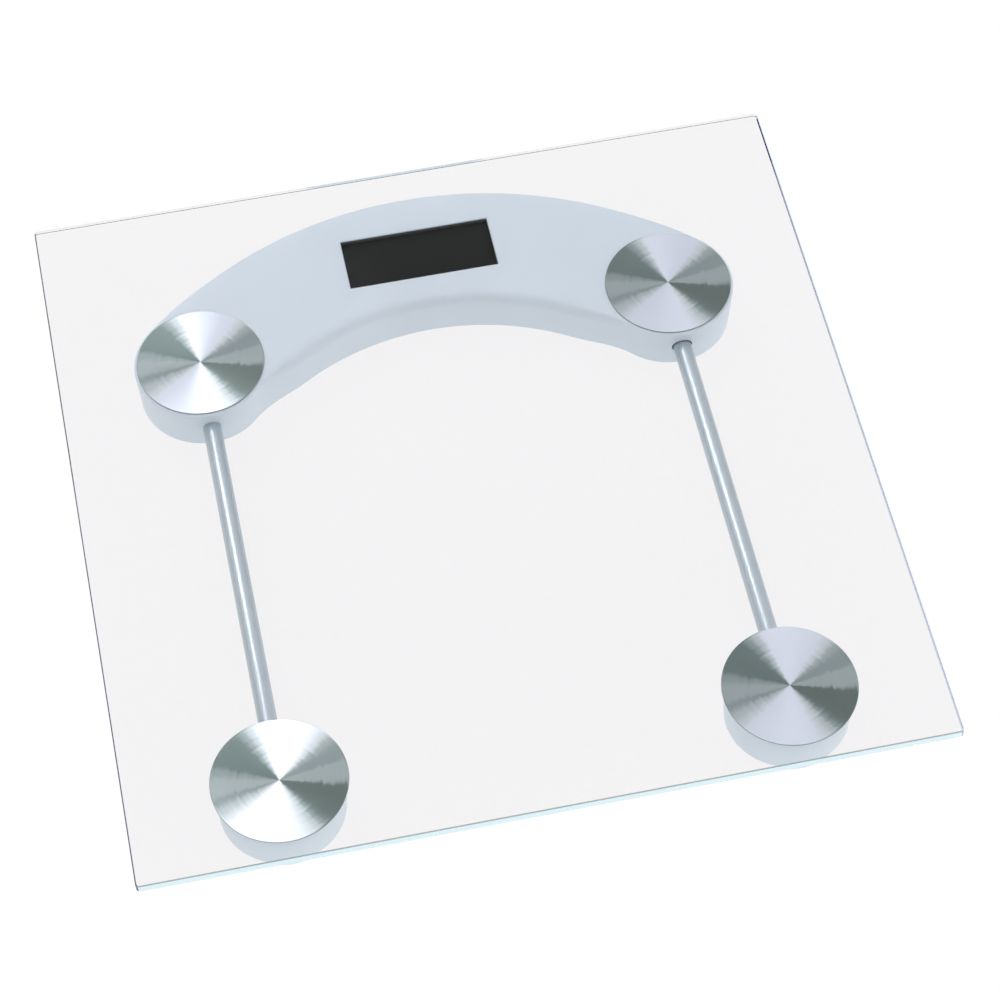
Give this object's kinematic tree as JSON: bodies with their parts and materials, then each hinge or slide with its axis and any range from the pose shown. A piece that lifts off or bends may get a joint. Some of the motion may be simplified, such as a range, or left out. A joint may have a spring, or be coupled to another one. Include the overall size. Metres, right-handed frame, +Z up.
{
  "type": "bathroom scale",
  "caption": "Square glass-topped electronic bathroom scale with spun steel discs over its pads, a crescent display housing and steel tubes to the front pads.",
  "frame": {"origin": "centre of the platform, on the floor plane under the rubber feet", "axes": "+X to the user's right, +Y from the user's side towards the display, +Z up"},
  "size_m": [0.3, 0.3, 0.025],
  "materials": {
    "platform_glass": "clear polished float glass with a green-blue edge",
    "spun_steel": "turned in circles, so it shines in wedges",
    "silver_plastic": "satin silver-blue moulded plastic",
    "grey_plastic": "fine matte grey moulding",
    "black_rubber": "matte rubber",
    "tube_chrome": "bright chrome plate",
    "wire_jacket": "smooth vinyl sleeve",
    "display_glass": "dark liquid-crystal cell, switched off",
    "black_plastic": "matte black moulding",
    "board_green": "green solder mask",
    "contact_metal": "tinned spring strip",
    "plated_steel": "zinc-plated steel"
  },
  "bodies": {
    "platform": {"battery_holder": "black_plastic", "board_screw_left": "plated_steel", "board_screw_right": "plated_steel", "circuit_board": "board_green", "coin_cell": "plated_steel", "contact_negative": "contact_metal", "contact_positive": "contact_metal", "contact_strip": "black_rubber", "cup_base_front_left": "grey_plastic", "cup_base_front_right": "grey_plastic", "cup_front_left": "silver_plastic", "cup_front_right": "silver_plastic", "disc_front_left": "spun_steel", "disc_front_right": "spun_steel", "disc_rear_left": "spun_steel", "disc_rear_right": "spun_steel", "display_base": "grey_plastic", "display_housing": "silver_plastic", "glass_platform": "platform_glass", "lcd_frame": "black_plastic", "lcd_panel": "display_glass", "load_cell_front_left": "plated_steel", "load_cell_front_right": "plated_steel", "load_cell_rear_left": "plated_steel", "load_cell_rear_right": "plated_steel", "screw_arm_left": "plated_steel", "screw_arm_right": "plated_steel", "screw_crest": "plated_steel", "screw_cup_front_left_left": "plated_steel", "screw_cup_front_left_right": "plated_steel", "screw_cup_front_right_left": "plated_steel", "screw_cup_front_right_right": "plated_steel", "screw_end_left": "plated_steel", "screw_end_right": "plated_steel", "tube_left": "tube_chrome", "tube_right": "tube_chrome", "unit_switch": "black_plastic", "wire_front_left": "wire_jacket", "wire_front_right": "wire_jacket", "wire_rear_left": "wire_jacket", "wire_rear_right": "wire_jacket"},
    "foot_assembly_front_left": {"foot_front_left": "grey_plastic", "foot_pad_front_left": "black_rubber"},
    "foot_assembly_front_right": {"foot_front_right": "grey_plastic", "foot_pad_front_right": "black_rubber"},
    "foot_assembly_rear_left": {"foot_rear_left": "grey_plastic", "foot_pad_rear_left": "black_rubber"},
    "foot_assembly_rear_right": {"foot_rear_right": "grey_plastic", "foot_pad_rear_right": "black_rubber"},
    "door": {"battery_door": "grey_plastic"},
    "button": {"unit_button": "black_plastic"}
  },
  "joints": [
    {"name": "foot_slide_front_left", "type": "slide", "parent": "platform", "child": "foot_assembly_front_left", "axis": [0, 0, 1], "range_m": [0, 0.0005], "stiffness_N_per_m": 200000, "springref_m": -0.00004},
    {"name": "foot_slide_front_right", "type": "slide", "parent": "platform", "child": "foot_assembly_front_right", "axis": [0, 0, 1], "range_m": [0, 0.0005], "stiffness_N_per_m": 200000, "springref_m": -0.00004},
    {"name": "foot_slide_rear_left", "type": "slide", "parent": "platform", "child": "foot_assembly_rear_left", "axis": [0, 0, 1], "range_m": [0, 0.0005], "stiffness_N_per_m": 200000, "springref_m": -0.00004},
    {"name": "foot_slide_rear_right", "type": "slide", "parent": "platform", "child": "foot_assembly_rear_right", "axis": [0, 0, 1], "range_m": [0, 0.0005], "stiffness_N_per_m": 200000, "springref_m": -0.00004},
    {"name": "battery_door_hinge", "type": "hinge", "parent": "platform", "child": "door", "pos_m": [-0.018, 0.0933, 0.003], "axis": [-1, 0, 0], "range_deg": [0, 80]},
    {"name": "unit_button_press", "type": "slide", "parent": "platform", "child": "button", "axis": [0, 0, 1], "range_m": [0, 0.0005], "stiffness_N_per_m": 600, "springref_m": -0.0008}
  ]
}
